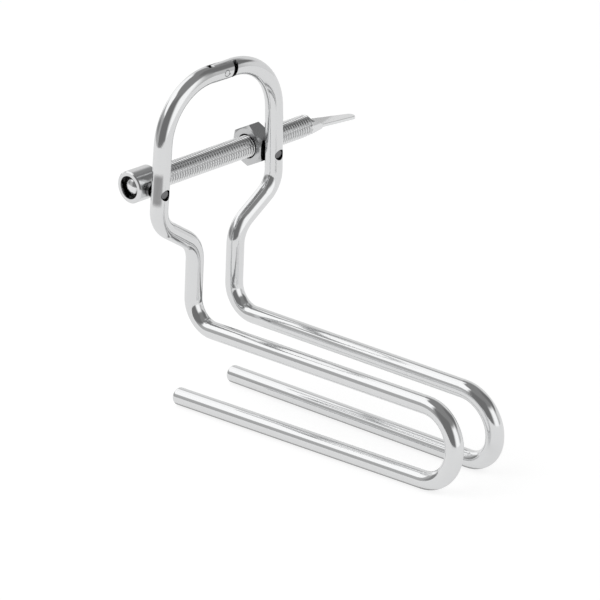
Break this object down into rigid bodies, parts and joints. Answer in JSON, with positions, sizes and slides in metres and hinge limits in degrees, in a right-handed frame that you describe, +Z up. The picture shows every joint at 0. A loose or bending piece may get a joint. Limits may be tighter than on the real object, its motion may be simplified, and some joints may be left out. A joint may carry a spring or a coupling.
{
  "type": "anal speculum",
  "caption": "Self-retaining wire anal speculum: polished steel rod arms hinged at the top, blade loops below, and a thumb screw with barrel and hex nut that spreads them.",
  "frame": {"origin": "On the floor plane under the hinge pin, between the two lower blade rods", "axes": "+X along the blades towards their noses; +Y from the left arm to the right arm, along the screw; +Z up, the way the part stands on its lower rods"},
  "size_m": [0.1728, 0.1417, 0.1582],
  "materials": {
    "polished_rod": "mirror-polished stainless steel rod",
    "pin_steel": "peened and polished stainless pin ends",
    "turned_steel": "finely turned stainless steel",
    "screw_steel": "bright cut stainless thread and polished thumb piece"
  },
  "bodies": {
    "left_side": {"left_arm": "polished_rod", "hinge_pin": "pin_steel"},
    "right_side": {"right_arm": "polished_rod"},
    "barrel": {"swivel_barrel": "turned_steel", "barrel_pin": "pin_steel"},
    "nut": {"hex_nut": "turned_steel", "nut_pin": "pin_steel"},
    "thumb_screw": {"screw": "screw_steel"}
  },
  "joints": [
    {"name": "arm_hinge", "type": "hinge", "parent": "left_side", "child": "right_side", "pos_m": [0, 0, 0.15411], "axis": [0.9956, 0, -0.0938], "range_deg": [-7, 26]},
    {"name": "barrel_swivel", "type": "hinge", "parent": "left_side", "child": "barrel", "pos_m": [-0.00443, -0.03485, 0.10713], "axis": [0.9956, 0, -0.0938], "range_deg": [-4, 14]},
    {"name": "nut_swivel", "type": "hinge", "parent": "right_side", "child": "nut", "pos_m": [-0.00443, 0.03485, 0.10713], "axis": [0.9956, 0, -0.0938], "range_deg": [-14, 4]},
    {"name": "screw_turn", "type": "hinge", "parent": "barrel", "child": "thumb_screw", "pos_m": [-0.01727, -0.03485, 0.10834], "axis": [0, 1, 0], "continuous": true}
  ],
  "couplings": [
    {"joint": "barrel_swivel", "follows": "arm_hinge", "ratio": 0.5},
    {"joint": "nut_swivel", "follows": "arm_hinge", "ratio": -0.5}
  ]
}
